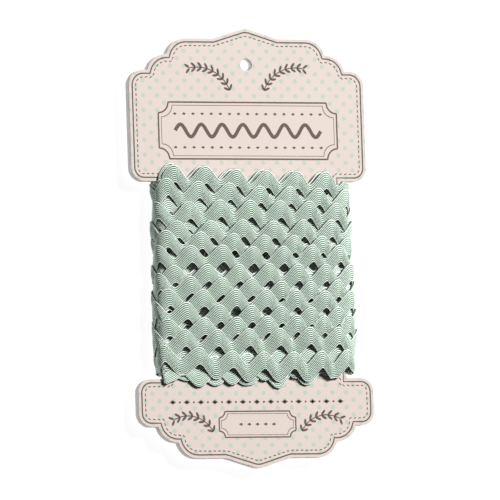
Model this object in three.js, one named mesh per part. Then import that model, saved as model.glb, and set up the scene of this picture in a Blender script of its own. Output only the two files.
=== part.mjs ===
// Ric rac trim wound round a die-cut display card, lying on its back.
// Sizes are millimetres. X runs across the card, Y up its length and Z out of its face,
// with Z = 0 at the flat spot under the winding that the whole thing rests on.
import * as THREE from 'three';

// Card: two scalloped plaques joined by a narrower neck that the trim is wound on
const CARD_THICKNESS = 4.8;
const CARD_HALF_LENGTH = 112.3;
const PLAQUE_HALF_WIDTH = 64.6;
const NECK_HALF_WIDTH = 50;
const NECK_TOP = 34.1;
const NECK_BOTTOM = -66.7;
const APEX_RADIUS = 9;
const APEX_SLOPE = THREE.MathUtils.degToRad(17);
const SHOULDER_START = 17.8;
const SHOULDER_END = 32.8;
const SCALLOP_RADIUS = 11.1;
const SCALLOP_SWEEP = THREE.MathUtils.degToRad(74.5);
const OUTER_CORNER_RADIUS = 8;
const INNER_CORNER_RADIUS = 7;
const HANG_HOLE_RADIUS = 3.1;
const HANG_HOLE_HEIGHT = 93.8;
const ARC_STEPS = 4;

// Ric rac: a flat wavy braid, 5/8 inch over its crests and troughs
const TRIM_HEIGHT = 15.9;
const BAND_WIDTH = 9.2;
const WAVE_DEPTH = TRIM_HEIGHT - BAND_WIDTH;
const WAVE_PITCH = 16.55;
const WAVE_SHARPNESS = 1.3;

// Winding: an oval coil, bowed in front and pressed flat on its back. It sits a little to the
// right of the neck's middle and slackens towards its lower end.
const COIL_HALF_WIDTH = 54.7;
const COIL_MIDDLE = 1.5;
const SLACK = 0.014;
const FRONT_RISE = 9.5;
const BACK_RISE = 7.6;
const FRONT_POWER = 3.4;
const BACK_POWER = 5;
const FLAT_SPOT_DEPTH = 1.2;
const SHINGLE_LIFT = 2.8;
const UNDER_LAYER_DEPTH = 3.8;
const FRONT_PASS_HALF = 50;
const COLUMNS_PER_WAVE = 8;
const LOOP_SAMPLES = 1600;

// Room between the coil and the card: the bore's half width and half depth leave it all round
// the neck, and so do the turns' ends next to the two plaques
const CLEARANCE = 0.5;
const BORE_HALF_WIDTH = NECK_HALF_WIDTH + CLEARANCE;
const BORE_HALF_DEPTH = CARD_THICKNESS / 2 + CLEARANCE;

// Where the coil turns round the neck it is squeezed in between the two plaques. The turn
// lies between four places of the oval, one off each corner of the neck.
const TURN_X = 53.8;
const TURN_Z = 4;
const SQUEEZE_START = 49.5;
const SQUEEZE_END = 53;
const SQUEEZE_LENGTH = 6;

// Least step between neighbouring lines of one column, and how wide a gap shows its floor
const LINE_STEP = 0.15;
const TUCK_STEP = 0.4;
const OPEN_GAP = 1.6;
const LEAST_STEP = 0.02;

// Front passes from top to bottom: the height of the crests at the left, in the middle and
// at the right, how far right of the middle the nearest crest lies, the length of a wave
// there, and how fast the waves tighten to the right
const ROWS = [
  { left: 42.9, middle: 39.8, right: 39.3, crest: 7.2, pitch: 16.6, drift: 0.006 },
  { left: 35.4, middle: 32.2, right: 30.5, crest: 3.1, pitch: 16.5, drift: 0.007 },
  { left: 23.6, middle: 24.4, right: 23.3, crest: -2.7, pitch: 16.5, drift: 0.008 },
  { left: 13.6, middle: 14.2, right: 14.4, crest: -7.3, pitch: 17.2, drift: 0.016 },
  { left: 8.7, middle: 7.1, right: 5.5, crest: 4.4, pitch: 16.6, drift: 0.02 },
  { left: 1.6, middle: 1.1, right: 1.3, crest: -2.0, pitch: 16.6, drift: 0.01 },
  { left: -8.8, middle: -8.2, right: -8.2, crest: 6.5, pitch: 16.2, drift: 0.018 },
  { left: -13.3, middle: -16.4, right: -16.4, crest: -3.1, pitch: 16.2, drift: 0.009 },
  { left: -20.9, middle: -21.4, right: -21.7, crest: 4.5, pitch: 16.6, drift: 0.016 },
  { left: -27.3, middle: -29.6, right: -30.4, crest: -4.0, pitch: 16.7, drift: 0.018 },
  { left: -35.8, middle: -35.2, right: -34.2, crest: 4.6, pitch: 16.2, drift: 0.026 },
  { left: -41.4, middle: -41.1, right: -40.9, crest: -5.7, pitch: 16.8, drift: 0.01 },
  { left: -49.7, middle: -52.5, right: -52.6, crest: 2.3, pitch: 16.4, drift: 0.026 },
];
const ROW_SAMPLE = 45;

// The layer underneath shows past the first and last rows, as one ring at each end
const UPPER_RING = { left: 43.5, middle: 40.4, right: 39.6, crest: 6.2, pitch: 16.6, drift: 0.006 };
const LOWER_RING = { left: -55.7, middle: -56.2, right: -54, crest: 3.2, pitch: 16.8, drift: 0.023 };

const MID_PLANE = BACK_RISE - FLAT_SPOT_DEPTH;

const mix = THREE.MathUtils.lerp;
const smooth = THREE.MathUtils.smoothstep;

// One half of a plaque's scalloped end, from its apex out to its side
function scallopedEnd(path) {
  const top = CARD_HALF_LENGTH;
  path.absarc(0, top - APEX_RADIUS, APEX_RADIUS, Math.PI / 2, Math.PI / 2 - APEX_SLOPE, true);
  const tangentX = APEX_RADIUS * Math.sin(APEX_SLOPE);
  const tangentY = top - APEX_RADIUS * (1 - Math.cos(APEX_SLOPE));
  let x = SHOULDER_END;
  let y = tangentY - (SHOULDER_START - tangentX) * Math.tan(APEX_SLOPE);
  path.lineTo(SHOULDER_START, y);
  path.lineTo(x, y);
  for (let scallop = 0; scallop < 2; scallop++) {
    const end = Math.PI / 2 - SCALLOP_SWEEP;
    path.absarc(x, y - SCALLOP_RADIUS, SCALLOP_RADIUS, Math.PI / 2, end, true);
    x += SCALLOP_RADIUS * Math.cos(end);
    y += SCALLOP_RADIUS * (Math.sin(end) - 1);
  }
  return y;
}

// Right half of a plaque, from its apex round its side to the neck
function halfPlaque(shoulderRadius, neckEdge) {
  const path = new THREE.Path();
  const y = scallopedEnd(path);
  const side = PLAQUE_HALF_WIDTH;
  const inner = INNER_CORNER_RADIUS;
  path.absarc(side - shoulderRadius, y - shoulderRadius, shoulderRadius, Math.PI / 2, 0, true);
  path.absarc(side - inner, neckEdge + inner, inner, 0, -Math.PI / 2, true);
  path.lineTo(NECK_HALF_WIDTH, neckEdge);
  return path.getPoints(ARC_STEPS);
}

function cardMesh() {
  const upper = halfPlaque(OUTER_CORNER_RADIUS, NECK_TOP);
  const lower = halfPlaque(INNER_CORNER_RADIUS, -NECK_BOTTOM)
    .map((p) => new THREE.Vector2(p.x, -p.y))
    .reverse();
  const right = [...upper, ...lower];
  const left = right
    .slice(1, -1)
    .map((p) => new THREE.Vector2(-p.x, p.y))
    .reverse();
  const shape = new THREE.Shape([...right, ...left]);
  const hole = new THREE.Path();
  hole.absarc(0, HANG_HOLE_HEIGHT, HANG_HOLE_RADIUS, 0, 2 * Math.PI, false);
  shape.holes.push(hole);
  const geometry = new THREE.ExtrudeGeometry(shape, {
    depth: CARD_THICKNESS,
    bevelEnabled: false,
    curveSegments: 4 * ARC_STEPS,
  });
  const board = new THREE.MeshStandardMaterial({ color: 0xecd8d0, roughness: 0.85, metalness: 0 });
  const mesh = new THREE.Mesh(geometry, board);
  mesh.name = 'card';
  mesh.position.z = MID_PLANE - CARD_THICKNESS / 2;
  return mesh;
}

// A point of the coil's outer oval: turn 0 is the middle of the back, 0.5 that of the front,
// and the left side comes first
function ovalPoint(turn) {
  const sine = Math.sin(2 * Math.PI * turn);
  const cosine = Math.cos(2 * Math.PI * turn);
  const back = cosine > 0;
  const power = 2 / (back ? BACK_POWER : FRONT_POWER);
  const rise = back ? BACK_RISE : FRONT_RISE;
  return {
    x: COIL_MIDDLE - COIL_HALF_WIDTH * Math.sign(sine) * Math.abs(sine) ** power,
    z: -rise * Math.sign(cosine) * Math.abs(cosine) ** power,
  };
}

// The oval measured along its own length from the middle of the back
function measuredOval() {
  const points = [];
  let length = 0;
  for (let i = 0; i <= LOOP_SAMPLES; i++) {
    const point = ovalPoint(i / LOOP_SAMPLES);
    if (i > 0) length += Math.hypot(point.x - points[i - 1].x, point.z - points[i - 1].z);
    points.push({ ...point, length });
  }
  return { points, length };
}

const OVAL = measuredOval();
const BACK_PASS = OVAL.length - 2 * FRONT_PASS_HALF;

// A place on the oval, with lengths counted from the middle of the card's front
function ovalAt(along) {
  const wanted = (along - COIL_MIDDLE + 1.5 * OVAL.length) % OVAL.length;
  let i = 1;
  while (i < LOOP_SAMPLES && OVAL.points[i].length < wanted) i++;
  const before = OVAL.points[i - 1];
  const after = OVAL.points[i];
  const share = (wanted - before.length) / (after.length - before.length);
  const step = Math.hypot(after.x - before.x, after.z - before.z);
  return {
    x: mix(before.x, after.x, share),
    z: mix(before.z, after.z, share),
    outX: -(after.z - before.z) / step,
    outZ: (after.x - before.x) / step,
  };
}

// Crest height of a row on the front, along a parabola through its three sizes
function frontHeight(row, along) {
  const u = along / ROW_SAMPLE;
  const slope = (row.right - row.left) / 2;
  const bow = (row.right + row.left) / 2 - row.middle;
  return row.middle + slope * u + bow * u * u;
}

// Waves counted from the row's crest nearest the middle
function frontPhase(row, along) {
  const waves = (along - row.crest) / row.pitch;
  return waves + row.drift * waves * waves;
}

// Waves in the back pass that joins one row to the next, so that both stay in step
function backWaves(row, next) {
  const usual = BACK_PASS / WAVE_PITCH;
  const needed = frontPhase(next, -FRONT_PASS_HALF) - frontPhase(row, FRONT_PASS_HALF);
  return needed + Math.round(usual - needed);
}

// Crest height and wave count of one pass of trim at a place round the coil: on the back it
// runs on from the row before and down into the row after
function passAt(before, row, after, along) {
  if (along > FRONT_PASS_HALF) {
    const share = (along - FRONT_PASS_HALF) / BACK_PASS;
    const start = frontHeight(row, FRONT_PASS_HALF);
    return {
      crest: mix(start, frontHeight(after, -FRONT_PASS_HALF), share),
      phase: frontPhase(row, FRONT_PASS_HALF) + share * backWaves(row, after),
    };
  }
  if (along < -FRONT_PASS_HALF) {
    const share = (along + FRONT_PASS_HALF) / BACK_PASS;
    const end = frontHeight(row, -FRONT_PASS_HALF);
    return {
      crest: mix(end, frontHeight(before, FRONT_PASS_HALF), -share),
      phase: frontPhase(row, -FRONT_PASS_HALF) + share * backWaves(before, row),
    };
  }
  return { crest: frontHeight(row, along), phase: frontPhase(row, along) };
}

// The first and last rows run level into the turns that nothing follows
function levelWith(row) {
  return { ...row, left: row.right, right: row.left };
}

function rowAt(index, along) {
  const row = ROWS[index];
  return passAt(ROWS[index - 1] ?? levelWith(row), row, ROWS[index + 1] ?? levelWith(row), along);
}

// Upper and lower edges of the wavy band: each is round outside a bend and sharp inside it
function bandEdges(pass) {
  const upper = Math.abs(Math.cos(Math.PI * pass.phase)) ** WAVE_SHARPNESS;
  const lower = 1 - Math.abs(Math.sin(Math.PI * pass.phase)) ** WAVE_SHARPNESS;
  return {
    top: pass.crest - WAVE_DEPTH * (1 - upper),
    bottom: pass.crest - BAND_WIDTH - WAVE_DEPTH * (1 - lower),
  };
}

// How far a row's face lies inside the oval at a height: its crests stand out, its troughs sink
function sinkAt(pass, height) {
  return (SHINGLE_LIFT * (pass.crest - height)) / TRIM_HEIGHT;
}

function softLimit(height) {
  const top = NECK_TOP - CLEARANCE;
  const bottom = NECK_BOTTOM + CLEARANCE;
  if (height > top - SQUEEZE_LENGTH) {
    return top - SQUEEZE_LENGTH * Math.exp((top - SQUEEZE_LENGTH - height) / SQUEEZE_LENGTH);
  }
  if (height < bottom + SQUEEZE_LENGTH) {
    return bottom + SQUEEZE_LENGTH * Math.exp((height - bottom - SQUEEZE_LENGTH) / SQUEEZE_LENGTH);
  }
  return height;
}

// Heights and depths of one column's lines from the top ring to the bottom one
function columnLines(along) {
  const passes = ROWS.map((_, index) => rowAt(index, along));
  const edges = passes.map(bandEdges);
  const upper = bandEdges(passAt(UPPER_RING, UPPER_RING, UPPER_RING, along)).top;
  const lower = bandEdges(passAt(LOWER_RING, LOWER_RING, LOWER_RING, along)).bottom;
  const lines = [
    { height: Math.max(upper, edges[0].top + OPEN_GAP), sink: UNDER_LAYER_DEPTH },
    { height: edges[0].top + LINE_STEP, sink: UNDER_LAYER_DEPTH },
  ];
  passes.forEach((pass, index) => {
    const next = edges[index + 1]?.top ?? edges[index].bottom - LINE_STEP;
    const tail = Math.max(edges[index].bottom, next + TUCK_STEP);
    const open = index === ROWS.length - 1 ? 1 : smooth(tail - next, TUCK_STEP, OPEN_GAP);
    lines.push({ height: edges[index].top, sink: sinkAt(pass, edges[index].top) });
    lines.push({ height: tail, sink: sinkAt(pass, tail) });
    lines.push({ height: next + LINE_STEP, sink: mix(sinkAt(pass, tail), UNDER_LAYER_DEPTH, open) });
  });
  const last = edges[edges.length - 1].bottom;
  lines[lines.length - 1].height = last - LINE_STEP;
  lines.push({ height: Math.min(lower, last - OPEN_GAP), sink: UNDER_LAYER_DEPTH });
  return lines;
}

// Inner loop of the coil: a rectangle just clear of the neck, with its corners on the columns
// where the turns begin and end
function innerLoop(ovals) {
  const corners = [[-1, -1], [-1, 1], [1, 1], [1, -1]].map(([sideX, sideZ]) => {
    const away = (o) => Math.hypot(o.x - COIL_MIDDLE - sideX * TURN_X, o.z - sideZ * TURN_Z);
    const near = ovals.reduce((best, o, i) => (away(o) < away(ovals[best]) ? i : best), 0);
    return { column: near, x: sideX * BORE_HALF_WIDTH, z: sideZ * BORE_HALF_DEPTH };
  });
  return ovals.map((_, i) => {
    const after = corners.findIndex((c) => c.column >= i);
    const b = corners[after < 0 ? 0 : after];
    const a = corners[((after < 0 ? 0 : after) + 3) % 4];
    const span = (b.column - a.column + ovals.length) % ovals.length;
    const share = 1 - ((b.column - i + ovals.length) % ovals.length) / span;
    return { x: mix(a.x, b.x, share), z: mix(a.z, b.z, share) };
  });
}

// Depth of a sunken line of the coil: beside the neck it is free, and in front of the card and
// behind it the line stays as far off the card as the bore, so that no plaque is touched
function lineDepth(oval, inner, sink) {
  const depth = oval.z - oval.outZ * sink;
  if (Math.abs(inner.z) < BORE_HALF_DEPTH - LEAST_STEP) return depth;
  const kept = Math.sign(oval.z) * Math.max(Math.abs(depth), BORE_HALF_DEPTH);
  return Math.max(kept, FLAT_SPOT_DEPTH - BACK_RISE);
}

function coilColumns() {
  const count = Math.round((OVAL.length / WAVE_PITCH) * COLUMNS_PER_WAVE);
  const places = Array.from({ length: count }, (_, i) => OVAL.length * (i / count - 0.5));
  const ovals = places.map(ovalAt);
  const inner = innerLoop(ovals);
  const fullDepth = FRONT_RISE - BORE_HALF_DEPTH;
  return places.map((along, i) => {
    const oval = ovals[i];
    const depth = Math.hypot(oval.x - inner[i].x, oval.z - inner[i].z) / fullDepth;
    const squeeze = smooth(Math.abs(oval.x - COIL_MIDDLE), SQUEEZE_START, SQUEEZE_END);
    const column = [];
    let above = Infinity;
    for (const line of columnLines(along)) {
      const height = mix(line.height, softLimit(line.height), squeeze);
      above = Math.min(height, above - LEAST_STEP);
      const sink = line.sink * Math.min(1, depth);
      const looser = 1 + SLACK * THREE.MathUtils.clamp(-above / NECK_TOP, 0, 2);
      column.push([(oval.x - oval.outX * sink) * looser, above, lineDepth(oval, inner[i], sink)]);
    }
    const first = [inner[i].x, column[0][1], inner[i].z];
    const last = [inner[i].x, column[column.length - 1][1], inner[i].z];
    return [first, ...column, last];
  });
}

// Faces between two neighbouring columns, whose lines pair up one to one
function stitch(faces, left, right, pairs) {
  for (let k = 1; k < pairs.length; k++) {
    const [a, b] = pairs[k - 1];
    const [c, d] = pairs[k];
    if (a !== c) faces.push(left + a, left + c, right + b);
    if (b !== d) faces.push(left + c, right + d, right + b);
  }
}

// Pairs of lines across the seam in the middle of the back, where every row runs into the
// one below it; the first and last rows end there
function seamPairs(lines) {
  const pairs = [[0, 0], [1, 1], [2, 2], [2, 3], [2, 4], [2, 5]];
  for (let a = 3; a + 3 <= lines - 3; a++) pairs.push([a, a + 3]);
  const lastFoot = lines - 3;
  for (let a = lastFoot - 2; a <= lastFoot; a++) pairs.push([a, lastFoot]);
  pairs.push([lines - 2, lines - 2], [lines - 1, lines - 1], [0, 0]);
  return pairs;
}

function windingMesh() {
  const columns = coilColumns();
  const lines = columns[0].length;
  const faces = [];
  const straight = Array.from({ length: lines + 1 }, (_, k) => [k % lines, k % lines]);
  for (let i = 0; i + 1 < columns.length; i++) stitch(faces, i * lines, (i + 1) * lines, straight);
  stitch(faces, (columns.length - 1) * lines, 0, seamPairs(lines));
  const geometry = new THREE.BufferGeometry();
  geometry.setAttribute('position', new THREE.Float32BufferAttribute(columns.flat(2), 3));
  geometry.setIndex(faces);
  geometry.computeVertexNormals();
  const cloth = new THREE.MeshStandardMaterial({ color: 0xa9bfae, roughness: 0.9, metalness: 0 });
  const mesh = new THREE.Mesh(geometry, cloth);
  mesh.name = 'winding';
  mesh.position.z = MID_PLANE;
  return mesh;
}

const woundCard = new THREE.Group();
woundCard.add(cardMesh(), windingMesh());

export default woundCard;
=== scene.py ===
"""A roll of ric rac: wavy braided trim wound on a die-cut display card, lying face up."""
import math
from collections import namedtuple

import bmesh
import bpy
import numpy as np
from mathutils import Matrix, Vector


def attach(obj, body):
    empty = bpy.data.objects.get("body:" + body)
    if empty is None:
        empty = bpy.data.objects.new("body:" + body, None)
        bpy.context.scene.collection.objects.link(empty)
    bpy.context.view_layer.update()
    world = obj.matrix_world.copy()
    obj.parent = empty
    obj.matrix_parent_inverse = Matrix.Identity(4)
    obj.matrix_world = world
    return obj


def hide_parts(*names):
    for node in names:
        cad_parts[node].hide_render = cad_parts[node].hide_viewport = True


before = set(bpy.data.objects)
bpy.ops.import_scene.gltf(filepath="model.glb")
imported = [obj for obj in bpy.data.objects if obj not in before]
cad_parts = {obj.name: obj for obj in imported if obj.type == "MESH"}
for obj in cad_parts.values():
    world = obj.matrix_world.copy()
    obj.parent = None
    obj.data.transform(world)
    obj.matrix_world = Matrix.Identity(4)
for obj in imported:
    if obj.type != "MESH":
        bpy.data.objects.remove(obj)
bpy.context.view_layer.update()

MM = 0.001

# Board: its middle plane above the table, and the outline of its two scalloped plaques
MID_PLANE = 6.4
BOARD_THICKNESS = 4.8
CARD_HALF_LENGTH = 112.3
PLAQUE_HALF_WIDTH = 64.6
NECK_HALF_WIDTH = 50
NECK_TOP = 34.1
NECK_BOTTOM = -66.7
APEX_RADIUS = 9
APEX_SLOPE = math.radians(17)
SHOULDER_START = 17.8
SHOULDER_END = 32.8
SCALLOP_RADIUS = 11.1
SCALLOP_SWEEP = math.radians(74.5)
OUTER_CORNER_RADIUS = 8
INNER_CORNER_RADIUS = 7
HANG_HOLE_RADIUS = 3.1
HANG_HOLE_HEIGHT = 93.8
FACE = MID_PLANE + BOARD_THICKNESS / 2

# Ric rac: the size of its wave and of its ribs, how far the band narrows on its slopes and leans
# to one side, and the width and points of its flat underside
TRIM_HEIGHT = 15.9
BAND_WIDTH = 9.2
WAVE_DEPTH = TRIM_HEIGHT - BAND_WIDTH
WAVE_PITCH = 16.55
BAND_TURN = 0.22
WAVE_POINT = 0.02
SKEW = 0.5
TRIM_THICKNESS = 1.0
RIB_COUNT = 9
RIB_DEPTH = 0.48
EDGE_LIFT = 0.3
AT_EDGE = 0.9999
UNDERSIDE_WIDTH = 0.97
UNDERSIDE_POINTS = 7

# Coil: an oval bowed in front and pressed flat behind, which widens a little downwards, the part
# of a turn that is its front, the depth of all layers together, how far from the middle the rows
# are measured, and the steps that the oval is made in
COIL_HALF_WIDTH = 54.7
COIL_MIDDLE = 1.5
SLACK = 0.014
FRONT_RISE = 9.5
BACK_RISE = 7.6
FRONT_POWER = 3.4
BACK_POWER = 5
FRONT_PASS_HALF = 50
FULL_DEPTH = 6.8
ROW_SAMPLE = 45
OVAL_STEPS = 8000
OVAL_POINTS = 1200
CORNER_SPAN = 9

# Round the neck: the gap that stays free, how far in from the plaques the trim is squeezed, and
# how narrow it may get there
NECK_GAP = 0.3
CLEAR_HALF_WIDTH = NECK_HALF_WIDTH + NECK_GAP
CLEAR_HALF_DEPTH = BOARD_THICKNESS / 2 + NECK_GAP
SQUEEZE_REACH = 6
LEAST_HALF_WIDTH = 0.4

# Unevenness: how much the crests, the waves and the lie of the trim wander, and over what length
CREST_WANDER = (0.45, 60)
WAVE_WANDER = (0.05, 45)
LIE_WANDER = (0.1, 28)

# Rows on the front from top to bottom: crest heights at the left, in the middle and at the
# right, the crest nearest the middle, the wave length there and how fast the waves tighten
Row = namedtuple("Row", "left middle right crest pitch drift")
TOP_ROWS = [
    Row(42.9, 39.8, 39.3, 7.2, 16.6, 0.006),
    Row(35.4, 32.2, 30.5, 3.1, 16.5, 0.007),
    Row(23.6, 24.4, 23.3, -2.7, 16.5, 0.008),
    Row(13.6, 14.2, 14.4, -7.3, 17.2, 0.016),
    Row(8.7, 7.1, 5.5, 4.4, 16.6, 0.02),
    Row(1.6, 1.1, 1.3, -2.0, 16.6, 0.01),
    Row(-8.8, -8.2, -8.2, 6.5, 16.2, 0.018),
    Row(-13.3, -16.4, -16.4, -3.1, 16.2, 0.009),
    Row(-20.9, -21.4, -21.7, 4.5, 16.6, 0.016),
    Row(-27.3, -29.6, -30.4, -4.0, 16.7, 0.018),
    Row(-35.8, -35.2, -34.2, 4.6, 16.2, 0.026),
    Row(-41.4, -41.1, -40.9, -5.7, 16.8, 0.01),
    Row(-49.7, -52.5, -52.6, 2.3, 16.4, 0.026),
]
UPPER_RING = Row(43.5, 40.4, 39.6, 6.2, 16.6, 0.006)
LOWER_RING = Row(-55.6, -53.0, -48.3, -5.3, 17.3, 0.02)
DEEP_UPPER_RING = Row(42.0, 39.4, 38.2, 5.0, 16.6, 0.006)
DEEP_LOWER_RING = Row(-55.0, -56.0, -54.8, 2.3, 16.4, 0.026)
CORE_UPPER_RING = Row(38.0, 36.0, 36.0, 0.0, 16.6, 0.0)
CORE_LOWER_RING = Row(-50.0, -50.0, -49.0, 0.0, 16.6, 0.0)
ROWS_A_LAYER = 13
CREST_STRAY = 1.5

# How each layer lies: how deep its crests are, how far it leans in towards its troughs, how far
# its crests stand out as ridges, its thickness, how far it bulges along its middle, the depth of
# its ribs, how uneven it is, the steps its shape is made in, and how near the board's face it may
# run past the neck
Layer = namedtuple(
    "Layer", "depth lean ridge thickness crown ribs uneven wave_steps rib_steps full free")
TOP_LAYER = Layer(-0.6, 2.6, 2.0, TRIM_THICKNESS, 0.9, RIB_DEPTH, 1.0, 20, 4, 3.2, 4.2)
SECOND_LAYER = Layer(3.7, 1.0, 0.3, 0.7, 0.6, 0.25, 1.2, 12, 2, 2.8, 3.4)
THIRD_LAYER = Layer(5.2, 0.4, 0.1, 0.5, 0.4, 0.25, 1.0, 10, 2, 2.7, 3.2)
FOURTH_LAYER = Layer(6.1, 0.2, 0.0, 0.4, 0.3, 0.2, 1.2, 8, 2, 2.8, 3.6)

# Towards both ends of the winding the layers lie closer to the board
END_PRESS = 0.22
TOP_PRESS = (14, 32)
BOTTOM_PRESS = (-46, -62)


def smooth(value, low, high):
    """Zero at low and one at high, with a soft step between."""
    t = np.clip((value - low) / (high - low), 0, 1)
    return t * t * (3 - 2 * t)


def mix(a, b, share):
    return a + (b - a) * share


def oval_table():
    """The coil's outer oval from the middle of the back: length, x, z and the way along it."""
    turn = np.linspace(0, 1, OVAL_STEPS + 1)
    sine, cosine = np.sin(2 * np.pi * turn), np.cos(2 * np.pi * turn)
    power = np.where(cosine > 0, 2 / BACK_POWER, 2 / FRONT_POWER)
    rise = np.where(cosine > 0, BACK_RISE, FRONT_RISE)
    x = COIL_MIDDLE - COIL_HALF_WIDTH * np.sign(sine) * np.abs(sine) ** power
    z = -rise * np.sign(cosine) * np.abs(cosine) ** power
    length = np.concatenate([[0], np.cumsum(np.hypot(np.diff(x), np.diff(z)))])
    even = np.linspace(0, length[-1], OVAL_POINTS)
    x, z = np.interp(even, length, x), np.interp(even, length, z)
    tangent = np.stack([softened(np.gradient(x)), softened(np.gradient(z))])
    tangent /= np.linalg.norm(tangent, axis=0)
    return even, x, z, tangent


def softened(values):
    """The values averaged with their neighbours, so that the trim turns the corners softly."""
    weights = np.hanning(CORNER_SPAN)
    padded = np.pad(values, CORNER_SPAN // 2, mode="edge")
    return np.convolve(padded, weights / weights.sum(), "valid")


OVAL = oval_table()
LOOP = OVAL[0][-1]
BACK_PASS = LOOP - 2 * FRONT_PASS_HALF


def oval_at(along):
    """Points and directions of the oval at lengths counted from the middle of the board."""
    where = np.mod(along - COIL_MIDDLE + LOOP / 2, LOOP)
    lengths, x, z, tangent = OVAL
    return [np.interp(where, lengths, values) for values in (x, z, *tangent)]


def front_height(row, along):
    """Height of the row's crests, on a bow through its left, middle and right."""
    u = along / ROW_SAMPLE
    bow = (row.right + row.left) / 2 - row.middle
    return row.middle + (row.right - row.left) / 2 * u + bow * u * u


def front_phase(row, along):
    """Waves counted from the row's own crest."""
    waves = (along - row.crest) / row.pitch
    return waves + row.drift * waves * waves


def back_waves(row, after):
    """Waves on the back, so many that the next row's crests come where they should."""
    needed = front_phase(after, -FRONT_PASS_HALF) - front_phase(row, FRONT_PASS_HALF)
    return needed + round(BACK_PASS / WAVE_PITCH - needed)


def level_with(row):
    """The row that an end of the trim makes for, so that it runs on level behind."""
    return row._replace(left=row.right, right=row.left)


def pass_at(before, row, after, along):
    """Crest height and wave count of one turn: level on the front, stepping down behind."""
    end = FRONT_PASS_HALF
    ahead = (along - end) / BACK_PASS
    behind = (-end - along) / BACK_PASS
    height, phase = front_height(row, along), front_phase(row, along)
    next_height = mix(front_height(row, end), front_height(after, -end), ahead)
    last_height = mix(front_height(row, -end), front_height(before, end), behind)
    height = np.where(along > end, next_height, height)
    height = np.where(along < -end, last_height, height)
    next_phase = front_phase(row, end) + ahead * back_waves(row, after)
    last_phase = front_phase(row, -end) - behind * back_waves(before, row)
    phase = np.where(along > end, next_phase, phase)
    phase = np.where(along < -end, last_phase, phase)
    return height, phase


def uneven(length, seed, spacing):
    """A gentle unevenness along the trim, made of five waves."""
    draw = np.random.default_rng(seed)
    total = np.zeros_like(length)
    for k in range(5):
        wave = spacing * draw.uniform(0.55, 2.4)
        total += draw.uniform(0.25, 0.5) * np.sin(2 * np.pi * (length / wave + draw.uniform()))
    return total


def soft_limit(height):
    """Heights pressed in between the plaques, as the trim is where it turns round the neck."""
    soft = SQUEEZE_REACH
    top, bottom = NECK_TOP - NECK_GAP, NECK_BOTTOM + NECK_GAP
    high = top - soft * np.exp(np.minimum(0, (top - soft - height) / soft))
    low = bottom + soft * np.exp(np.minimum(0, (height - bottom - soft) / soft))
    return np.where(height > top - soft, high, np.where(height < bottom + soft, low, height))


def wound_path(rows, first, last, layer, seed):
    """Centre line of the trim from row to row, with the vectors across it and out of it."""
    steps = round(LOOP / WAVE_PITCH * layer.wave_steps)
    along = np.linspace(-LOOP / 2, LOOP / 2, steps, endpoint=False)
    heights, phases, places = [], [], []
    for n in range(first, last + 1):
        before = rows[n - 1] if n > 0 else level_with(rows[n])
        after = rows[n + 1] if n + 1 < len(rows) else level_with(rows[n])
        height, phase = pass_at(before, rows[n], after, along)
        heights.append(height)
        phases.append(phase)
        places.append(along + n * LOOP)
    crest, phase, run = (np.concatenate(v) for v in (heights, phases, places))
    crest_wander, crest_spacing = CREST_WANDER
    wave_wander, wave_spacing = WAVE_WANDER
    crest = crest + crest_wander * layer.uneven * uneven(run, seed, crest_spacing)
    depth = 1 + wave_wander * layer.uneven * uneven(run, seed + 1, wave_spacing)
    wave = WAVE_DEPTH * depth
    turn = 2 * np.pi * phase
    swing = (np.cos(turn) + WAVE_POINT * np.cos(3 * turn)) / (1 + WAVE_POINT)
    middle = crest - BAND_WIDTH / 2 - wave * (1 - swing) / 2
    slope = np.arctan(np.gradient(middle, run))
    shift = -BAND_TURN * np.sin(slope) * BAND_WIDTH / 2 - SKEW
    half = BAND_WIDTH / 2 * (1 - BAND_TURN + BAND_TURN * np.cos(slope))
    return lay_on_oval(run, crest, middle, shift, half, layer, seed)


def depth_below_oval(run, crest, middle, room, lean, layer, seed):
    """How far the trim's middle lies inside the coil's outer oval, pressed in at both ends."""
    sink = layer.depth * room + lean * (crest - middle) + layer.thickness / 2 + layer.crown * room
    sink = sink + layer.ridge * room * (crest - middle - BAND_WIDTH / 2) / WAVE_DEPTH
    wander, spacing = LIE_WANDER
    sink = sink + wander * layer.uneven * uneven(run, seed + 2, spacing)
    near_bottom = smooth(-middle, *(-height for height in BOTTOM_PRESS))
    press = END_PRESS * (smooth(middle, *TOP_PRESS) + near_bottom)
    return sink + press * room * np.maximum(FULL_DEPTH - sink, 0)


def lay_on_oval(run, crest, middle, shift, half, layer, seed):
    """The trim wrapped round the coil: its centre line, and the vectors across it and out of it."""
    x, z, tx, tz = oval_at(run)
    beside = np.maximum(np.abs(x) - CLEAR_HALF_WIDTH, 0)
    away = np.hypot(beside, np.maximum(np.abs(z) - CLEAR_HALF_DEPTH, 0))
    room = np.minimum(1, away / FULL_DEPTH)
    lean = layer.lean * room / TRIM_HEIGHT
    sink = depth_below_oval(run, crest, middle, room, lean, layer, seed)
    out_x, out_z = -tz, tx
    px, pz = x - out_x * sink + SKEW * tx, z - out_z * sink + SKEW * tz
    px = px * (1 + SLACK * np.clip(-middle / NECK_TOP, 0, 2))
    pressed = 1 - smooth(np.abs(pz), layer.full, layer.free)
    top = mix(middle + half, soft_limit(middle + half), pressed)
    bottom = mix(middle - half, soft_limit(middle - half), pressed)
    middle, half = (top + bottom) / 2, np.maximum((top - bottom) / 2, LEAST_HALF_WIDTH)
    centre = np.stack([px, middle, pz + MID_PLANE], axis=1)
    across_x = shift * tx + lean * half * out_x
    across_z = shift * tz + lean * half * out_z
    across = np.stack([across_x, half, across_z], axis=1)
    out = np.stack([out_x, -lean, out_z], axis=1)
    out /= np.linalg.norm(out, axis=1, keepdims=True)
    reach = np.abs(across[:, 2]) + np.abs(out[:, 2]) * (layer.thickness / 2 + layer.crown)
    centre[:, 2] = np.maximum(centre[:, 2], reach)
    return centre * MM, across * MM, out, run


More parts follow.
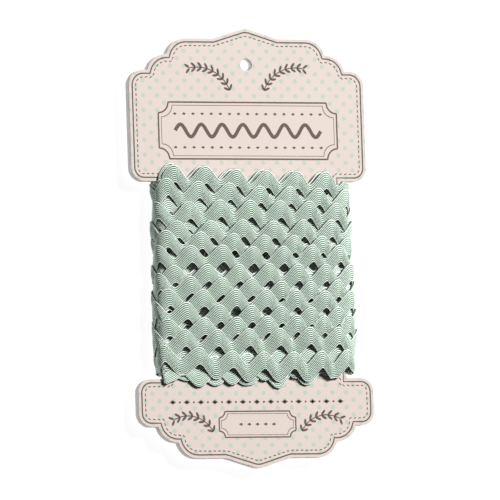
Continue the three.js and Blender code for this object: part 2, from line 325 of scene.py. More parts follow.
def socket_kind(value):
    kinds = {bool: "NodeSocketBool", int: "NodeSocketInt", float: "NodeSocketFloat"}
    if isinstance(value, bpy.types.Material):
        return "NodeSocketMaterial"
    return kinds[type(value)]


class Wiring:
    """A node tree that is put together one node at a time."""

    def __init__(self, tree):
        self.tree = tree

    def add(self, kind, inputs=None, **settings):
        node = self.tree.nodes.new(kind)
        for name, value in settings.items():
            setattr(node, name, value)
        for key, value in (inputs or {}).items():
            self.feed(value, node.inputs[key])
        return node

    def feed(self, value, socket):
        if isinstance(value, bpy.types.NodeSocket):
            self.tree.links.new(value, socket)
        else:
            socket.default_value = value

    def math(self, operation, a, b=0.0, c=0.0):
        return self.add("ShaderNodeMath", {0: a, 1: b, 2: c}, operation=operation).outputs[0]

    def vector(self, operation, a, b=None, scale=None):
        node = self.add("ShaderNodeVectorMath", {0: a}, operation=operation)
        if b is not None:
            self.feed(b, node.inputs[1])
        if scale is not None:
            self.feed(scale, node.inputs["Scale"])
        return node.outputs[0]

    def ramp(self, value, low, high):
        """Zero below low and one above high, with a soft step between."""
        node = self.add("ShaderNodeMapRange", {"Value": value, "From Min": low, "From Max": high})
        node.interpolation_type = "SMOOTHSTEP"
        return node.outputs["Result"]


class Geometry(Wiring):
    """A Geometry Nodes tree whose sizes are named inputs."""

    def __init__(self, name, **sizes):
        tree = bpy.data.node_groups.new(name, "GeometryNodeTree")
        super().__init__(tree)
        tree.interface.new_socket("Geometry", in_out="INPUT", socket_type="NodeSocketGeometry")
        self.sockets = {}
        for label, value in sizes.items():
            kind = socket_kind(value)
            self.sockets[label] = tree.interface.new_socket(label, in_out="INPUT", socket_type=kind)
        tree.interface.new_socket("Geometry", in_out="OUTPUT", socket_type="NodeSocketGeometry")
        self.sizes = sizes
        self.start = self.add("NodeGroupInput")

    def size(self, label):
        return self.start.outputs[label]

    def named(self, name, kind="FLOAT_VECTOR"):
        node = self.add("GeometryNodeInputNamedAttribute", {"Name": name}, data_type=kind)
        return node.outputs["Attribute"]

    def store(self, geometry, name, value, kind="FLOAT_VECTOR"):
        inputs = {"Geometry": geometry, "Name": name, "Value": value}
        return self.add("GeometryNodeStoreNamedAttribute", inputs, data_type=kind).outputs[0]

    def end(self, geometry):
        """Real mesh with its material, as every tree here ends."""
        real = self.add("GeometryNodeRealizeInstances", {"Geometry": geometry}).outputs[0]
        inputs = {"Geometry": real, "Material": self.size("Material")}
        covered = self.add("GeometryNodeSetMaterial", inputs)
        finish = self.add("NodeGroupOutput")
        self.feed(covered.outputs[0], finish.inputs[0])

    def run(self, source, name):
        """A plain mesh object made from the source object by this tree."""
        modifier = source.modifiers.new("shape", "NODES")
        modifier.node_group = self.tree
        for label, value in self.sizes.items():
            modifier[self.sockets[label].identifier] = value
        evaluated = source.evaluated_get(bpy.context.evaluated_depsgraph_get())
        mesh = bpy.data.meshes.new_from_object(evaluated)
        source.modifiers.remove(modifier)
        bpy.data.objects.remove(source)
        return piece(name, mesh)


def piece(name, mesh):
    mesh.name = name
    made = bpy.data.objects.new(name, mesh)
    bpy.context.scene.collection.objects.link(made)
    return made


def path_object(points, closed=False, **attributes):
    """A chain of edges that carries vectors or numbers on its points."""
    count = len(points)
    edges = [(i, i + 1) for i in range(count - 1)] + ([(count - 1, 0)] if closed else [])
    mesh = bpy.data.meshes.new("path")
    mesh.from_pydata([tuple(p) for p in points], edges, [])
    for name, values in attributes.items():
        values = np.asarray(values, np.float32)
        kind, field = ("FLOAT_VECTOR", "vector") if values.ndim == 2 else ("FLOAT", "value")
        mesh.attributes.new(name, kind, "POINT").data.foreach_set(field, values.ravel())
    return piece("path", mesh)


def ribbed_profile(tree):
    """The trim's cross-section as a closed line: rounded ribs above and flat below. Each point
    carries its place across the trim, from -1 to 1, and its height."""
    ribs, steps = tree.size("Ribs"), tree.size("Steps a rib")
    top = tree.math("MULTIPLY", ribs, steps)
    under = tree.size("Underside points")
    count = tree.math("ADD", top, under)
    line = tree.add("GeometryNodeCurvePrimitiveCircle", {"Resolution": count}, mode="RADIUS")
    index = tree.add("GeometryNodeInputIndex").outputs[0]
    on_top = tree.math("LESS_THAN", index, tree.math("ADD", top, 0.5))
    share = tree.math("DIVIDE", index, top)
    place = tree.math("MULTIPLY_ADD", share, 2.0, -1.0)
    half_turns = tree.math("MULTIPLY", share, tree.math("MULTIPLY", ribs, math.pi))
    rib = tree.math("ABSOLUTE", tree.math("SINE", half_turns))
    half = tree.math("MULTIPLY", tree.size("Thickness"), 0.5)
    groove = tree.math("MULTIPLY", tree.size("Rib depth"), tree.math("SUBTRACT", 1.0, rib))
    height = tree.math("SUBTRACT", half, groove)
    outer = tree.ramp(tree.math("ABSOLUTE", place), 1 - 3.0 / RIB_COUNT, 1 - 1.0 / RIB_COUNT)
    height = tree.math("ADD", height, tree.math("MULTIPLY", outer, tree.size("Edge lift")))
    crown = tree.math("SUBTRACT", 1.0, tree.math("MULTIPLY", place, place))
    height = tree.math("ADD", height, tree.math("MULTIPLY", crown, tree.size("Crown")))
    edge = tree.math("GREATER_THAN", tree.math("ABSOLUTE", place), AT_EDGE)
    height = tree.math("MULTIPLY", height, tree.math("SUBTRACT", 1.0, edge))
    after = tree.math("SUBTRACT", tree.math("SUBTRACT", index, top), 1.0)
    spread = tree.math("DIVIDE", after, tree.math("SUBTRACT", under, 2.0))
    below = tree.math("MULTIPLY", tree.math("MULTIPLY_ADD", spread, -2.0, 1.0), UNDERSIDE_WIDTH)
    beneath = tree.math("SUBTRACT", 1.0, on_top)
    low_half = tree.math("MULTIPLY", half, beneath)
    v = tree.math("ADD", tree.math("MULTIPLY", place, on_top), tree.math("MULTIPLY", below, beneath))
    h = tree.math("SUBTRACT", tree.math("MULTIPLY", height, on_top), low_half)
    section = tree.add("ShaderNodeCombineXYZ", {"X": v, "Y": h, "Z": on_top}).outputs[0]
    return tree.store(line.outputs[0], "section", section)


def trim_tree(**sizes):
    """Sweeps the ribbed cross-section along a path that knows which way is across and out."""
    tree = Geometry("ribbed trim", **sizes)
    centre = tree.add("GeometryNodeInputPosition").outputs[0]
    path = tree.store(tree.size("Geometry"), "centre", centre)
    curve = tree.add("GeometryNodeMeshToCurve", {"Mesh": path}).outputs[0]
    sweep = {"Curve": curve, "Profile Curve": ribbed_profile(tree), "Fill Caps": True}
    swept = tree.add("GeometryNodeCurveToMesh", sweep).outputs[0]
    section = tree.add("ShaderNodeSeparateXYZ", {0: tree.named("section")})
    v, h, on_top = section.outputs
    aside = tree.vector("SCALE", tree.named("across"), scale=v)
    up = tree.vector("SCALE", tree.named("out"), scale=h)
    place = tree.vector("ADD", tree.vector("ADD", tree.named("centre"), aside), up)
    moved = tree.add("GeometryNodeSetPosition", {"Geometry": swept, "Position": place}).outputs[0]
    run = tree.named("run", "FLOAT")
    weave = tree.add("ShaderNodeCombineXYZ", {"X": run, "Y": v, "Z": on_top}).outputs[0]
    marked = tree.store(moved, "weave", weave)
    smooth_faces = tree.add("GeometryNodeSetShadeSmooth", {"Geometry": marked})
    tree.end(smooth_faces.outputs[0])
    return tree


def trim_run(name, rows, first, last, layer, seed, material):
    """One length of trim, wound from row first to row last."""
    centre, across, out, run = wound_path(rows, first, last, layer, seed)
    source = path_object(centre, across=across, out=out, run=run * MM)
    tree = trim_tree(**{
        "Thickness": layer.thickness * MM,
        "Rib depth": layer.ribs * MM,
        "Edge lift": EDGE_LIFT * MM,
        "Crown": layer.crown * MM,
        "Ribs": RIB_COUNT,
        "Steps a rib": layer.rib_steps,
        "Underside points": UNDERSIDE_POINTS,
        "Material": material,
    })
    made = tree.run(source, name)
    for old in ("section", "across", "out", "centre", "run"):
        if old in made.data.attributes:
            made.data.attributes.remove(made.data.attributes[old])
    return made


def arc(x, y, radius, start, end, steps=16):
    """Points of an arc round x and y, between two angles in degrees."""
    turns = np.linspace(math.radians(start), math.radians(end), steps + 1)
    return [(x + radius * math.cos(a), y + radius * math.sin(a)) for a in turns]


def half_plaque(shoulder_radius, neck_edge, inset):
    """Right half of a plaque, from its apex over two scallops and its side to the neck, moved
    inwards by the inset. Corners that point inwards stay sharp."""
    slope = APEX_SLOPE
    shoulder = CARD_HALF_LENGTH - APEX_RADIUS * (1 - math.cos(slope))
    shoulder -= (SHOULDER_START - APEX_RADIUS * math.sin(slope)) * math.tan(slope)
    points = arc(0, CARD_HALF_LENGTH - APEX_RADIUS, APEX_RADIUS - inset, 90, 90 - math.degrees(slope))
    x, y = points[-1]
    points.append((x + (y - shoulder + inset) / math.tan(slope), shoulder - inset))
    x, y = SHOULDER_END, shoulder
    end = math.pi / 2 - SCALLOP_SWEEP
    for _ in range(2):
        points += arc(x, y - SCALLOP_RADIUS, SCALLOP_RADIUS - inset, 90, math.degrees(end))
        x += SCALLOP_RADIUS * math.cos(end)
        y -= SCALLOP_RADIUS * (1 - math.sin(end))
        drop = points[-1][1] - (y - inset)
        points.append((points[-1][0] + drop * math.tan(end), y - inset))
    side, inner = PLAQUE_HALF_WIDTH, INNER_CORNER_RADIUS
    points += arc(side - shoulder_radius, y - shoulder_radius, shoulder_radius - inset, 90, 0)
    points += arc(side - inner, neck_edge + inner, inner - inset, 0, -90)
    points.append((NECK_HALF_WIDTH - inset, neck_edge + inset))
    return points


def card_outline(inset=0.0):
    """Both plaques and the neck between them, moved inwards by the inset."""
    upper = half_plaque(OUTER_CORNER_RADIUS, NECK_TOP, inset)
    lower = [(x, -y) for x, y in half_plaque(INNER_CORNER_RADIUS, -NECK_BOTTOM, inset)]
    right = upper + lower[::-1]
    left = [(-x, y) for x, y in right[1:-1]]
    points = right + left[::-1]
    return np.array([p for p, q in zip(points, points[1:] + points[:1]) if math.dist(p, q) > 0.01])


def evenly(points, spacing):
    """A closed line marked off in equal steps as near as can be to the spacing."""
    closed = np.vstack([points, points[:1]])
    length = np.concatenate([[0], np.cumsum(np.linalg.norm(np.diff(closed, axis=0), axis=1))])
    count = max(3, round(length[-1] / spacing))
    places = np.linspace(0, length[-1], count, endpoint=False)
    return np.stack([np.interp(places, length, closed[:, k]) for k in range(2)], axis=1)


def at_face(points, height):
    """Points above the card's face, in metres."""
    return [(x * MM, y * MM, (FACE + height) * MM) for x, y in points]


# Print on the card's face
BORDER_INSET = 1.9
BORDER_WIDTH = 0.7
DASH_INSET = 3.8
DASH_LENGTH = 1.45
DASH_PITCH = 2.6
DASH_WIDTH = 0.5
INK_HEIGHT = 0.03
FIELD_HEIGHT = 0.012

# Cut edge: its rounding, and how far upwards a facet looks to count as face and as level
BOARD_BEVEL = 0.16
FACE_TILT = 0.6
LEVEL_TILT = 0.98

# Labels: the heights that they lie at, and the half width, half height and corner radius of each
# field and of its inner frame
PANEL_HEIGHT = 60
PANEL_FIELD = (49, 14.5, 5.5)
PANEL_FRAME = (47.4, 12.9, 6.0)
LABEL_HEIGHT = -90
LABEL_FIELD = (21, 6.6, 3.2)
LABEL_FRAME = (19.8, 5.4, 3.4)
FRAME_STEP = 0.5

# Motifs: half the length of each row, with the pitch, length and width of its marks, the wave's
# height, length and width, the arc of each stem by middle, radius, angles and steps, and how far
# its leaves stand out from it and lean
STUD_HALF_RUN = 40
STUD_OFFSET = 8.6
STUDS = (5.0, 2.2, 1.5)
SMALL_STUD_HALF_RUN = 9
SMALL_STUDS = (4.5, 2.4, 1.6)
GARLAND_HEIGHT = -78.6
GARLAND_HALF_RUN = 46
GARLAND_DIAMONDS = (7.66, 3.6, 2.3)
GARLAND_BEADS = (3.83, 1.1, 1.1)
WAVE_LINE = (3.2, 80 / 7, 1.9)
CROWN_STEM = (27, 73.5, 19, 158, 78, 20)
FOOT_STEM = (38, -101, 15.5, 152, 62, 16)
STEM_WIDTH = 0.55
LEAVES = (3.1, 3.4, 1.3)
LEAF_REACH = 1.9
LEAF_LEAN = 42


def board_piece(name, materials):
    """The die-cut board with slightly rounded cut edges and its punched hang hole."""
    outline = card_outline()
    hole = arc(0, HANG_HOLE_HEIGHT, HANG_HOLE_RADIUS, 0, 360, 40)[:-1]
    curve = bpy.data.curves.new(name, "CURVE")
    curve.dimensions = "2D"
    curve.fill_mode = "BOTH"
    curve.extrude = (BOARD_THICKNESS / 2 - BOARD_BEVEL) * MM
    curve.bevel_depth = BOARD_BEVEL * MM
    curve.bevel_resolution = 2
    curve.offset = -BOARD_BEVEL * MM
    for line in (outline, hole):
        spline = curve.splines.new("POLY")
        spline.points.add(len(line) - 1)
        for point, (x, y) in zip(spline.points, line):
            point.co = (x * MM, y * MM, 0, 1)
        spline.use_cyclic_u = True
    source = piece("outline", curve)
    evaluated = source.evaluated_get(bpy.context.evaluated_depsgraph_get())
    mesh = bpy.data.meshes.new_from_object(evaluated)
    bpy.data.objects.remove(source)
    mesh.transform(Matrix.Translation((0, 0, MID_PLANE * MM)))
    close_shell(mesh)
    for material in materials:
        mesh.materials.append(material)
    sort_board_faces(mesh)
    return piece(name, mesh)


def close_shell(mesh):
    shell = bmesh.new()
    shell.from_mesh(mesh)
    bmesh.ops.remove_doubles(shell, verts=shell.verts, dist=0.002 * MM)
    bmesh.ops.recalc_face_normals(shell, faces=shell.faces)
    shell.to_mesh(mesh)
    shell.free()


def sort_board_faces(mesh):
    """Material 0 on the printed face, 1 on the cut edge and 2 on the plain back."""
    for face in mesh.polygons:
        up = face.normal.z
        face.material_index = 0 if up > FACE_TILT else 2 if up < -FACE_TILT else 1
        face.use_smooth = abs(up) < LEVEL_TILT


def line_tree(**sizes):
    """A flat printed line that follows a path lying on the card."""
    tree = Geometry("printed line", **sizes)
    curve = tree.add("GeometryNodeMeshToCurve", {"Mesh": tree.size("Geometry")}).outputs[0]
    upright = tree.add("GeometryNodeSetCurveNormal", {"Curve": curve}, mode="Z_UP")
    inputs = {"Width": tree.size("Width"), "Height": tree.size("Height")}
    section = tree.add("GeometryNodeCurvePrimitiveQuadrilateral", inputs, mode="RECTANGLE").outputs[0]
    sweep = {"Curve": upright.outputs[0], "Profile Curve": section, "Fill Caps": True}
    swept = tree.add("GeometryNodeCurveToMesh", sweep).outputs[0]
    flat = tree.add("GeometryNodeSetShadeSmooth", {"Geometry": swept, "Shade Smooth": False})
    tree.end(flat.outputs[0])
    return tree


def printed_line(name, points, width, material, closed=True):
    source = path_object(at_face(points, INK_HEIGHT / 2), closed=closed)
    tree = line_tree(Width=width * MM, Height=INK_HEIGHT * MM, Material=material)
    return tree.run(source, name)


def mark_tree(**sizes):
    """Small printed marks set along a path, each turned to it and leant to one side of it."""
    tree = Geometry("printed marks", **sizes)
    curve = tree.add("GeometryNodeMeshToCurve", {"Mesh": tree.size("Geometry")}).outputs[0]
    spacing = {"Curve": curve, "Length": tree.size("Pitch")}
    places = tree.add("GeometryNodeCurveToPoints", spacing, mode="LENGTH")
    heading = {"Vector": places.outputs["Tangent"]}
    turn = tree.add("FunctionNodeAlignRotationToVector", heading, axis="X", pivot_axis="Z").outputs[0]
    lean = tree.add("ShaderNodeCombineXYZ", {"Z": tree.size("Lean")}).outputs[0]
    leant = tree.add("FunctionNodeEulerToRotation", {0: lean}).outputs[0]
    both = {0: turn, 1: leant}
    whole = tree.add("FunctionNodeRotateRotation", both, rotation_space="LOCAL").outputs[0]
    inputs = {"Points": places.outputs["Points"], "Instance": one_mark(tree), "Rotation": whole}
    marks = tree.add("GeometryNodeInstanceOnPoints", inputs)
    tree.end(marks.outputs[0])
    return tree


def one_mark(tree):
    """A flat mark with the asked number of corners, stretched to its length and width."""
    inputs = {"Vertices": tree.size("Corners"), "Radius": 0.5, "Depth": tree.size("Height")}
    disc = tree.add("GeometryNodeMeshCylinder", inputs).outputs[0]
    first = tree.add("ShaderNodeCombineXYZ", {"Z": tree.size("First corner")}).outputs[0]
    facing = tree.add("GeometryNodeTransform", {"Geometry": disc, "Rotation": first}).outputs[0]
    lengths = {"X": tree.size("Length"), "Y": tree.size("Width"), "Z": 1.0}
    extent = tree.add("ShaderNodeCombineXYZ", lengths).outputs[0]
    reach = tree.add("ShaderNodeCombineXYZ", {"X": tree.size("Reach")}).outputs[0]
    inputs = {"Geometry": facing, "Translation": reach, "Scale": extent}
    return tree.add("GeometryNodeTransform", inputs).outputs[0]


def printed_marks(
    name, points, pitch, length, width, material, corners=4, lean=0.0, reach=0.0, closed=True
):
    """Marks with two corners are blunt dashes, with four diamonds and with more ovals."""
    source = path_object(at_face(points, INK_HEIGHT / 2), closed=closed)
    blunt = corners == 2
    if blunt:
        corners, length, width = 4, length * math.sqrt(2), width * math.sqrt(2)
    tree = mark_tree(**{
        "Pitch": pitch * MM,
        "Length": length * MM,
        "Width": width * MM,
        "Height": INK_HEIGHT * MM,
        "Corners": corners,
        "First corner": math.pi / 4 if blunt else 0.0,
        "Lean": math.radians(lean),
        "Reach": reach * MM,
        "Material": material,
    })
    return tree.run(source, name)


def flat_shape(name, outline, height, material):
    """A thin printed field with the given outline."""
    shape = bmesh.new()
    low = [shape.verts.new(p) for p in at_face(outline, 0)]
    high = [shape.verts.new(p) for p in at_face(outline, height)]
    shape.faces.new(low[::-1])
    shape.faces.new(high)
    for i in range(len(low)):
        k = (i + 1) % len(low)
        shape.faces.new((low[i], low[k], high[k], high[i]))
    bmesh.ops.recalc_face_normals(shape, faces=shape.faces)
    mesh = bpy.data.meshes.new(name)
    shape.to_mesh(mesh)
    shape.free()
    mesh.materials.append(material)
    return piece(name, mesh)


def joined(name, parts):
    """Several meshes that share a material made one piece."""
    whole = bmesh.new()
    for part in parts:
        whole.from_mesh(part.data)
        if part is not parts[0]:
            bpy.data.objects.remove(part)
    whole.to_mesh(parts[0].data)
    whole.free()
    parts[0].name = name
    parts[0].data.name = name
    return parts[0]


def shader_group(name, inputs, outputs):
    """An empty shader group with named inputs and outputs."""
    tree = bpy.data.node_groups.new(name, "ShaderNodeTree")
    for label, kind, value in inputs:
        socket = tree.interface.new_socket(label, in_out="INPUT", socket_type=kind)
        socket.default_value = value
    for label, kind in outputs:
        tree.interface.new_socket(label, in_out="OUTPUT", socket_type=kind)
    wires = Wiring(tree)
    return wires, wires.add("NodeGroupInput").outputs, wires.add("NodeGroupOutput").inputs


def mottle_group():
    """Uneven tone that cloth, board and ink share."""
    inputs = [
        ("Color", "NodeSocketColor", (1, 1, 1, 1)),
        ("Grain", "NodeSocketFloat", 200.0),
        ("Amount", "NodeSocketFloat", 0.1),
    ]
    outputs = [("Color", "NodeSocketColor"), ("Height", "NodeSocketFloat")]
    wires, given, result = shader_group("uneven tone", inputs, outputs)
    place = wires.add("ShaderNodeTexCoord").outputs["Object"]
    grain = {"Vector": place, "Scale": given["Grain"], "Detail": 4.0}
    noise = wires.add("ShaderNodeTexNoise", grain).outputs[0]
    change = wires.math("MULTIPLY", wires.math("SUBTRACT", noise, 0.5), given["Amount"])
    share = wires.math("ADD", 1.0, wires.math("MULTIPLY", change, 2.0))
    toned = wires.vector("SCALE", given["Color"], scale=share)
    wires.feed(toned, result["Color"])
    wires.feed(noise, result["Height"])
    return wires.tree


def srgb(red, green, blue):
    """Linear colour from the everyday 0 to 255 scale."""
    def linear(value):
        c = value / 255
        return c / 12.92 if c <= 0.04045 else ((c + 0.055) / 1.055) ** 2.4
    return (linear(red), linear(green), linear(blue), 1.0)


class Finish(Wiring):
    """A material round one Principled shader."""

    def __init__(self, name, roughness=0.8, **constants):
        self.material = bpy.data.materials.new(name)
        self.material.use_nodes = True
        super().__init__(self.material.node_tree)
        self.shader = self.tree.nodes["Principled BSDF"]
        self.shader.inputs["Roughness"].default_value = roughness
        for label, value in constants.items():
            self.shader.inputs[label.replace("_", " ")].default_value = value
        self.place = self.add("ShaderNodeTexCoord").outputs["Object"]

    def mottled(self, color, grain, amount):
        node = self.add("ShaderNodeGroup", node_tree=MOTTLE)
        for label, value in (("Color", color), ("Grain", grain), ("Amount", amount)):
            self.feed(value, node.inputs[label])
        return node.outputs

    def blend(self, share, a, b):
        node = self.add("ShaderNodeMix", data_type="RGBA")
        for value, index in ((share, 0), (a, 6), (b, 7)):
            self.feed(value, node.inputs[index])
        return node.outputs[2]

    def bump(self, height, distance, strength):
        inputs = {"Height": height, "Distance": distance, "Strength": strength}
        return self.add("ShaderNodeBump", inputs).outputs[0]

    def dress(self, color, normal=None):
        self.feed(color, self.shader.inputs["Base Color"])
        if normal is not None:
            self.feed(normal, self.shader.inputs["Normal"])
        return self.material


MOTTLE = mottle_group()
THREAD_LENGTH = 1.1
DOT_PITCH = 7.6
DOT_ROW = 3.8
DOT_RADIUS = 1.25

SAGE = (0.79, 0.96, 0.82, 1)
# Painted highlight along both edges of the trim
SAGE_EDGE_HIGHLIGHT = (0.92, 1.0, 0.935, 1)
# Painted shade at the bottom of the grooves between the trim's ribs
SAGE_GROOVE_SHADE = (0.05, 0.085, 0.06, 1)
BLUSH = srgb(201, 187, 179)
MINT = srgb(172, 184, 168)
BROWN = srgb(86, 69, 63)
BOARD_GREY = srgb(212, 206, 204)
BACK_WHITE = srgb(232, 228, 222)


def trim_material(name):
    """Braided cotton: rounded ribs with painted shade between them and a painted highlight along both
    edges, each crossed by slanting threads.
    """
    cloth = Finish(name, roughness=0.82, Sheen_Weight=0.25, Sheen_Roughness=0.5)
    weave = cloth.add("ShaderNodeAttribute", attribute_name="weave").outputs["Vector"]
    run, across, _ = cloth.add("ShaderNodeSeparateXYZ", {0: weave}).outputs
    ribs = cloth.math("MULTIPLY", cloth.math("MULTIPLY_ADD", across, 0.5, 0.5), float(RIB_COUNT))
    rib = cloth.math("ABSOLUTE", cloth.math("SINE", cloth.math("MULTIPLY", ribs, math.pi)))
    within = cloth.math("SUBTRACT", cloth.math("FRACT", ribs), 0.5)
    odd = cloth.math("MULTIPLY", cloth.math("FLOOR", ribs), 0.5)
    slant = cloth.math("ADD", odd, cloth.math("MULTIPLY", within, 0.9))
    along = cloth.math("ADD", cloth.math("DIVIDE", run, THREAD_LENGTH * MM), slant)
    twist = cloth.math("SINE", cloth.math("MULTIPLY", along, 2 * math.pi))
    thread = cloth.math("MULTIPLY_ADD", twist, 0.5, 0.5)
    # Painted shade: the colour goes dark towards the bottom of each groove between ribs
    tone = cloth.ramp(rib, 0.3, 1.0)
    tone = cloth.math("MULTIPLY", tone, cloth.math("MULTIPLY_ADD", thread, 0.18, 0.82))
    # Painted highlight: the colour goes paler along both edges of the trim
    painted_edge_highlight = cloth.ramp(cloth.math("ABSOLUTE", across), 1 - 1.7 / RIB_COUNT, 1 - 1.4 / RIB_COUNT)
    color = cloth.blend(tone, SAGE_GROOVE_SHADE, cloth.blend(painted_edge_highlight, SAGE, SAGE_EDGE_HIGHLIGHT))
    color = cloth.mottled(color, 90.0, 0.09)[0]
    height = cloth.math("ADD", cloth.math("MULTIPLY", thread, 0.6), rib)
    return cloth.dress(color, cloth.bump(height, 0.12 * MM, 0.5))


def printed_material(name):
    """Matte paper printed with a staggered pattern of small pale dots on a blush ground."""
    paper = Finish(name, roughness=0.62)
    x, y, _ = paper.add("ShaderNodeSeparateXYZ", {0: paper.place}).outputs
    row = paper.math("DIVIDE", y, DOT_ROW * MM)
    shift = paper.math("MULTIPLY", paper.math("FLOORED_MODULO", paper.math("FLOOR", row), 2.0), 0.5)
    column = paper.math("ADD", paper.math("DIVIDE", x, DOT_PITCH * MM), shift)
    dx = paper.math("MULTIPLY", paper.math("SUBTRACT", paper.math("FRACT", column), 0.5), DOT_PITCH)
    dy = paper.math("MULTIPLY", paper.math("SUBTRACT", paper.math("FRACT", row), 0.5), DOT_ROW)
    offset = paper.add("ShaderNodeCombineXYZ", {"X": dx, "Y": dy}).outputs[0]
    away = paper.add("ShaderNodeVectorMath", {0: offset}, operation="LENGTH").outputs["Value"]
    ground = paper.ramp(away, DOT_RADIUS - 0.3, DOT_RADIUS + 0.15)
    color = paper.mottled(paper.blend(ground, MINT, BLUSH), 60.0, 0.03)
    fibre = paper.mottled(color[0], 900.0, 0.05)
    return paper.dress(fibre[0], paper.bump(fibre[1], 0.02 * MM, 0.3))


def plain_material(name, color, grain, amount, roughness=0.8):
    plain = Finish(name, roughness=roughness)
    toned = plain.mottled(color, grain, amount)
    return plain.dress(toned[0], plain.bump(toned[1], 0.03 * MM, 0.3))


def floor_material(name):
    """A white table lit a little from below, so that shadows on it stay faint."""
    floor = Finish(name, roughness=0.9, Emission_Color=(1, 1, 1, 1), Emission_Strength=0.93)
    return floor.dress(floor.mottled(srgb(125, 125, 125), 3.0, 0.01)[0])


def edge_material(name):
    """Cut greyboard, whose plies show as faint stripes along the edge."""
    edge = Finish(name, roughness=0.9)
    height = edge.add("ShaderNodeSeparateXYZ", {0: edge.place}).outputs[2]
    plies = edge.math("SINE", edge.math("DIVIDE", height, 0.12 * MM))
    tone = edge.math("MULTIPLY_ADD", plies, 0.5, 0.5)
    color = edge.blend(tone, BOARD_GREY, srgb(222, 217, 215))
    toned = edge.mottled(color, 700.0, 0.12)
    return edge.dress(toned[0], edge.bump(toned[1], 0.05 * MM, 0.5))


def scroll(x, y, half_width, half_height, radius, steps=8):
    """Outline of a rectangle whose corners are cut in by small quarter rounds."""
    points = []
    for corner, (sx, sy) in enumerate([(1, 1), (-1, 1), (-1, -1), (1, -1)]):
        first = 270 + 90 * corner
        points += arc(x + sx * half_width, y + sy * half_height, radius, first, first - 90, steps)
    return np.array(points)


def wave(x0, x1, y, height, length, steps=16):
    count = round((x1 - x0) / length * steps)
    xs = np.linspace(x0, x1, count + 1)
    return [(x, y + height * math.sin(2 * math.pi * (x - x0) / length)) for x in xs]


def sprig(name, points, ink):
    """A curved stem with leaves on both sides."""
    parts = [printed_line(name, points, STEM_WIDTH, ink, closed=False)]
    for lean in (LEAF_LEAN, -LEAF_LEAN):
        shape = {"corners": 10, "lean": lean, "reach": LEAF_REACH, "closed": False}
        parts.append(printed_marks(name, points, *LEAVES, ink, **shape))
    return parts


def mirrored(points):
    return [(-x, y) for x, y in points]


def leaf_sprigs(ink):
    """Four leafy stems: two at the card's crown and two at its foot."""
    leaves = []
    for stem in (arc(*CROWN_STEM), arc(*FOOT_STEM)):
        leaves += sprig("sprig", stem, ink) + sprig("sprig", mirrored(stem), ink)
    return leaves


def label_frames(panel, label, ink):
    """Double frames round both labels, and the plain wave in the upper one."""
    height, length, width = WAVE_LINE
    ripple = wave(-STUD_HALF_RUN, STUD_HALF_RUN, PANEL_HEIGHT, height, length)
    return [
        printed_line("frame", evenly(panel, FRAME_STEP), 0.8, ink),
        printed_line("frame", scroll(0, PANEL_HEIGHT, *PANEL_FRAME), 0.4, ink),
        printed_line("frame", evenly(label, FRAME_STEP), 0.7, ink),
        printed_line("frame", scroll(0, LABEL_HEIGHT, *LABEL_FRAME), 0.35, ink),
        printed_line("wave", ripple, width, ink, closed=False),
    ]


def mark_row(name, half_run, height, marks, ink, corners=4):
    """A level row of marks, centred on the card."""
    line = [(-half_run, height), (half_run, height)]
    return printed_marks(name, line, *marks, ink, corners, closed=False)


def stud_rows(ink):
    """Rows of small diamonds in both labels, and the garland of diamonds and beads."""
    return [
        mark_row("studs", STUD_HALF_RUN, PANEL_HEIGHT - STUD_OFFSET, STUDS, ink),
        mark_row("studs", STUD_HALF_RUN, PANEL_HEIGHT + STUD_OFFSET, STUDS, ink),
        mark_row("garland", GARLAND_HALF_RUN, GARLAND_HEIGHT, GARLAND_DIAMONDS, ink),
        mark_row("garland", GARLAND_HALF_RUN, GARLAND_HEIGHT, GARLAND_BEADS, ink, corners=12),
        mark_row("studs", SMALL_STUD_HALF_RUN, LABEL_HEIGHT, SMALL_STUDS, ink),
    ]


def print_card(paper, ink):
    """Everything printed on the face besides its dots: borders, blank labels and sprigs."""
    border = card_outline(BORDER_INSET)
    dashes = card_outline(DASH_INSET)
    dash = (DASH_PITCH, DASH_LENGTH, DASH_WIDTH)
    panel = scroll(0, PANEL_HEIGHT, *PANEL_FIELD)
    label = scroll(0, LABEL_HEIGHT, *LABEL_FIELD)
    parts = [
        ("border_line", [printed_line("border", border, BORDER_WIDTH, ink)]),
        ("border_stitches", [printed_marks("stitches", dashes, *dash, ink, corners=2)]),
        ("blank_labels", [flat_shape("field", edge, FIELD_HEIGHT, paper) for edge in (panel, label)]),
        ("label_frames", label_frames(panel, label, ink) + stud_rows(ink)),
        ("leaf_sprigs", leaf_sprigs(ink)),
    ]
    return [joined(name, pieces) for name, pieces in parts]


def wind_trims(trim):
    """The outer layer in three lengths, and the three layers below it."""
    lengths = ((0, 3), (4, 8), (9, 12))
    trims = []
    for k, (first, last) in enumerate(lengths):
        name = f"outer_layer_{k + 1}"
        trims.append(trim_run(name, TOP_ROWS, first, last, TOP_LAYER, 11 + k, trim))
    for name, upper, lower, layer, seed in (
        ("second_layer", UPPER_RING, LOWER_RING, SECOND_LAYER, 31),
        ("third_layer", DEEP_UPPER_RING, DEEP_LOWER_RING, THIRD_LAYER, 47),
        ("fourth_layer", CORE_UPPER_RING, CORE_LOWER_RING, FOURTH_LAYER, 53),
    ):
        rows = rows_between(upper, lower)
        trims.append(trim_run(name, rows, 0, len(rows) - 1, layer, seed, trim))
    return trims


def build_pieces():
    ink = plain_material("brown ink", BROWN, 500.0, 0.14, 0.7)
    paper = plain_material("blank paper", BLUSH, 60.0, 0.03, 0.62)
    cover = printed_material("dotted paper")
    edge = edge_material("cut greyboard")
    back = plain_material("card back", BACK_WHITE, 80.0, 0.04)
    board = board_piece("board", [cover, edge, back])
    printed = print_card(paper, ink)
    trims = wind_trims(trim_material("sage braided cotton"))
    for made in (board, *printed):
        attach(made, "root")
    for made in trims:
        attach(made, "root")
        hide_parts("winding")
    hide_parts("card")


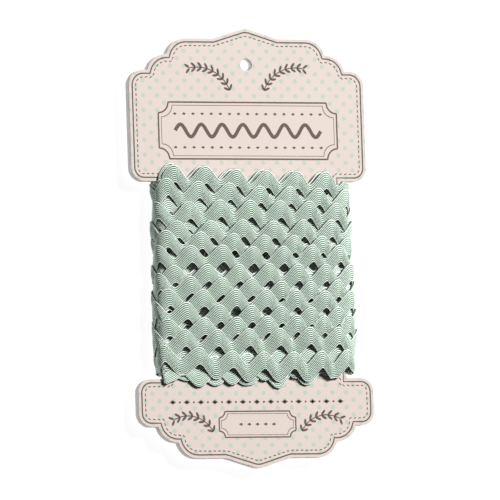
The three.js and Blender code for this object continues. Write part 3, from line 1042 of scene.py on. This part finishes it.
def rows_between(first, last):
    """Evenly stepped rows from one ring to another, each half a wave off the one before."""
    rows = []
    for n in range(ROWS_A_LAYER):
        share = n / (ROWS_A_LAYER - 1)
        values = [mix(a, b, share) for a, b in zip(first, last)]
        row = Row(*values)
        if n not in (0, ROWS_A_LAYER - 1):
            stray = CREST_STRAY * math.sin(2.3 * n)
            row = row._replace(crest=first.crest + (n % 2) * WAVE_PITCH / 2 + stray)
        rows.append(row)
    return rows


# Camera and table in metres, and each lamp's distance, size and power
CAMERA_DISTANCE = 4.25
FRAME_SHIFT = (0.0001, 0.00084)
TABLE_SIZE = 3
KEY_LAMP = (5.0, 1.3, 470)
FILL_LAMP = (2.4, 2.0, 0.4)


def set_camera():
    """A long lens far off, at the photograph's angle: from the left and a little from below."""
    toward = Vector((-0.3746, -0.0794, 0.9238)).normalized()
    right = Vector((0.9272, -0.0321, 0.3732))
    up = toward.cross(right).normalized()
    right = up.cross(toward).normalized()
    data = bpy.data.cameras.new("camera")
    data.lens = 600
    data.sensor_width = 36
    data.clip_end = 100
    camera = bpy.data.objects.new("camera", data)
    bpy.context.scene.collection.objects.link(camera)
    aside, below = FRAME_SHIFT
    middle = Vector((0, 0, MID_PLANE * MM)) - right * aside - up * below
    spot = middle + toward * CAMERA_DISTANCE
    turn = Matrix((right, up, toward)).transposed().to_4x4()
    camera.matrix_world = Matrix.Translation(spot) @ turn
    bpy.context.scene.camera = camera
    return toward, right, up


def lamp(name, direction, distance, size, power, target=Vector((0, 0, 0.005))):
    data = bpy.data.lights.new(name, "AREA")
    data.size = size
    data.energy = power
    light = bpy.data.objects.new(name, data)
    light.location = target + direction.normalized() * distance
    light.rotation_euler = direction.to_track_quat("Z", "Y").to_euler()
    bpy.context.scene.collection.objects.link(light)


def set_studio(toward, right, up):
    """A white table, a strong lamp at the upper right, a faint one at the upper left, and very
    little light from all round."""
    floor = bmesh.new()
    bmesh.ops.create_grid(floor, x_segments=8, y_segments=8, size=TABLE_SIZE)
    mesh = bpy.data.meshes.new("floor")
    floor.to_mesh(mesh)
    floor.free()
    mesh.materials.append(floor_material("pale floor"))
    piece("floor", mesh)
    lamp("key", right * 0.68 + up * 0.55 + toward * 0.4, *KEY_LAMP)
    lamp("fill", right * -0.3 + up * 0.5 + toward, *FILL_LAMP)
    world = bpy.data.worlds.new("studio")
    world.use_nodes = True
    world.node_tree.nodes["Background"].inputs["Color"].default_value = (1, 1, 1, 1)
    world.node_tree.nodes["Background"].inputs["Strength"].default_value = 0.05
    bpy.context.scene.world = world
    bpy.context.scene.view_settings.view_transform = "Standard"


build_pieces()
set_studio(*set_camera())
